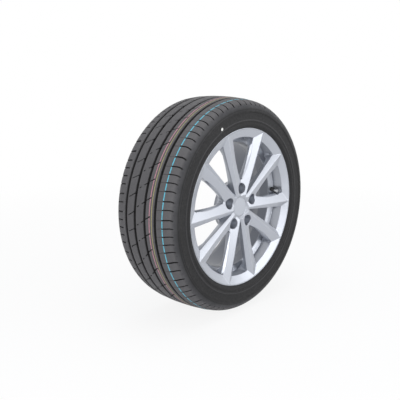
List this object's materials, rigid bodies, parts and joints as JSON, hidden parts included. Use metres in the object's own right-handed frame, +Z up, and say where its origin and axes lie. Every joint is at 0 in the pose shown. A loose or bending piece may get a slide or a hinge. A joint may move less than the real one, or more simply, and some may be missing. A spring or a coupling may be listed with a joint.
{
  "type": "car tyre on alloy wheel",
  "caption": "Road car tyre with grooved tread, mounted on a silver cast alloy wheel with paired spokes, bolt pockets, plain centre cap and valve.",
  "frame": {"origin": "centre of the wheel, on its axis at the middle of the tyre's width", "axes": "+Y along the axis towards the car, so the outboard face looks along -Y; +Z up, with the tyre's flat spot at the bottom"},
  "size_m": [0.6438, 0.23, 0.6432],
  "materials": {
    "moulded_rubber": "moulded black rubber, matt tread and satin sidewall",
    "silver_alloy": "silver lacquered cast aluminium",
    "silver_cap": "silver painted moulded plastic",
    "spring_steel": "bright spring wire",
    "valve_rubber": "moulded black rubber",
    "valve_brass": "turned brass",
    "valve_cap_metal": "bright turned aluminium"
  },
  "bodies": {
    "root": {"tyre": "moulded_rubber", "alloy_wheel": "silver_alloy", "centre_cap": "silver_cap", "cap_spring_ring": "spring_steel", "valve_body": "valve_rubber", "valve_stem": "valve_brass", "valve_core": "valve_brass", "valve_cap": "valve_cap_metal"}
  },
  "joints": []
}
